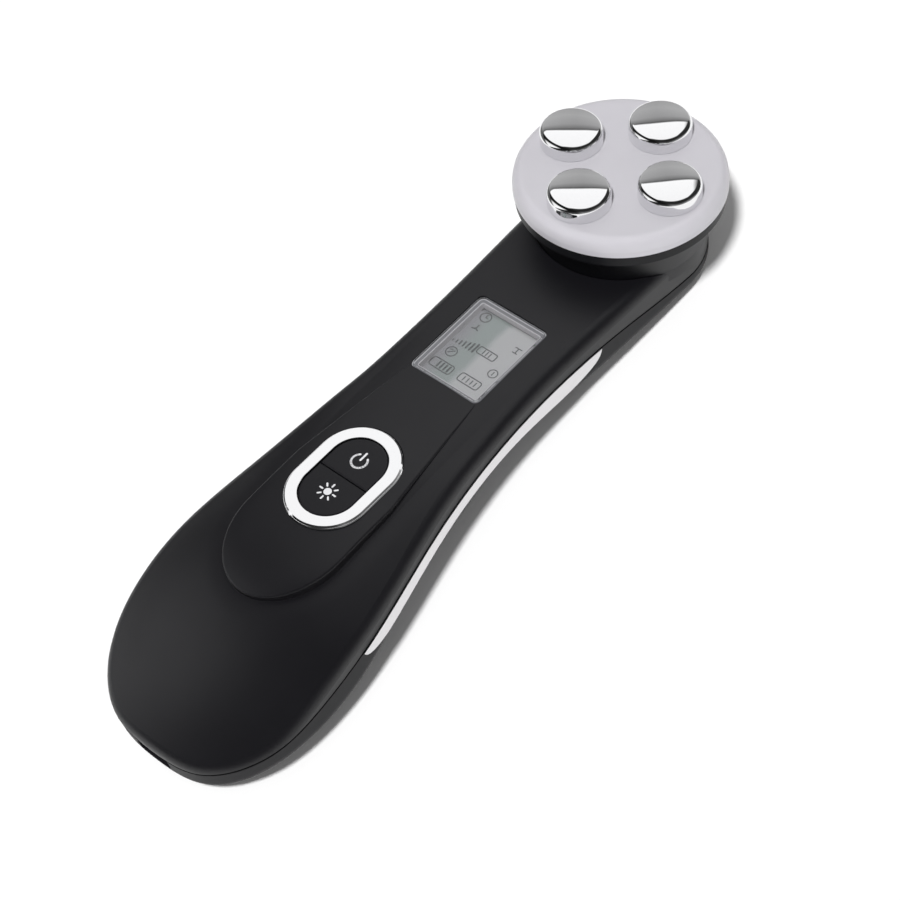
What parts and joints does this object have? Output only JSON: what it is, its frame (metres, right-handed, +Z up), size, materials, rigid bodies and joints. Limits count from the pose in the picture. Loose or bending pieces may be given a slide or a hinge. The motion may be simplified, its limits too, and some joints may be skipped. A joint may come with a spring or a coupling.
{
  "type": "facial toning device",
  "caption": "Hand-held facial toning device: waisted arched handle with display window, twin keys, side contact strips and a tilted round head with domed electrodes.",
  "frame": {"origin": "on the resting surface, under the middle of the overall length, in the plane of symmetry", "axes": "+X along the handle towards the head, +Y to the left, +Z up, away from the resting surface"},
  "size_m": [0.1924, 0.055, 0.0395],
  "materials": {
    "soft_black": "soft-touch coating",
    "black_trim": "fine satin",
    "key_black": "matt, printed",
    "milky_cap": "milky, satin gloss",
    "polished": "mirror polish",
    "clear_window": "clear acrylic",
    "display_glass": "grey-green display",
    "light_guide": "white diffuser",
    "foam": "closed-cell foam",
    "board_green": "solder mask",
    "board_white": "white solder mask",
    "moulded_black": "moulded",
    "moulded_white": "moulded",
    "lamp": "lamp resin",
    "cell_wrap": "shrink wrap",
    "steel": "bright plated"
  },
  "bodies": {
    "root": {"top_shell": "soft_black", "bottom_shell": "soft_black", "head_rim": "black_trim", "head_collar": "black_trim", "diffuser_disc": "milky_cap", "front_electrode": "polished", "rear_electrode": "polished", "left_electrode": "polished", "right_electrode": "polished", "key_bezel": "polished", "left_contact_strip": "polished", "right_contact_strip": "polished", "display_window": "clear_window", "lcd_panel": "display_glass", "lcd_backlight": "light_guide", "display_gasket": "foam", "battery_pad": "foam", "main_board": "board_green", "charge_board": "board_green", "led_board": "board_white", "control_chip": "moulded_black", "output_transformer": "moulded_black", "power_switch": "moulded_black", "light_switch": "moulded_black", "battery_connector": "moulded_white", "light_emitters": "lamp", "battery_cell": "cell_wrap", "strip_clips": "steel", "shell_screws": "steel", "board_screws": "steel", "charge_board_screws": "steel", "charging_socket": "steel", "vibration_motor": "steel", "head_screws": "steel", "electrode_nuts": "steel", "led_board_screws": "steel"},
    "power_key": {"power_key": "key_black"},
    "light_key": {"light_key": "key_black"},
    "power_plunger": {"power_switch_plunger": "moulded_white"},
    "light_plunger": {"light_switch_plunger": "moulded_white"},
    "motor_weight": {"motor_weight": "steel"}
  },
  "joints": [
    {"name": "power_key_press", "type": "slide", "parent": "root", "child": "power_key", "axis": [-0.1123, 0, -0.9937], "range_m": [0, 0.0005], "stiffness_N_per_m": 2000},
    {"name": "light_key_press", "type": "slide", "parent": "root", "child": "light_key", "axis": [-0.1123, 0, -0.9937], "range_m": [0, 0.0005], "stiffness_N_per_m": 2000},
    {"name": "power_plunger_press", "type": "slide", "parent": "root", "child": "power_plunger", "axis": [-0.1123, 0, -0.9937], "range_m": [0, 0.00035], "stiffness_N_per_m": 200},
    {"name": "light_plunger_press", "type": "slide", "parent": "root", "child": "light_plunger", "axis": [-0.1123, 0, -0.9937], "range_m": [0, 0.00035], "stiffness_N_per_m": 200},
    {"name": "motor_spin", "type": "hinge", "parent": "root", "child": "motor_weight", "pos_m": [0.0564, 0, 0.0057], "axis": [1, 0, 0], "continuous": true}
  ],
  "couplings": [
    {"joint": "power_plunger_press", "follows": "power_key_press", "ratio": 0.7},
    {"joint": "light_plunger_press", "follows": "light_key_press", "ratio": 0.7}
  ]
}
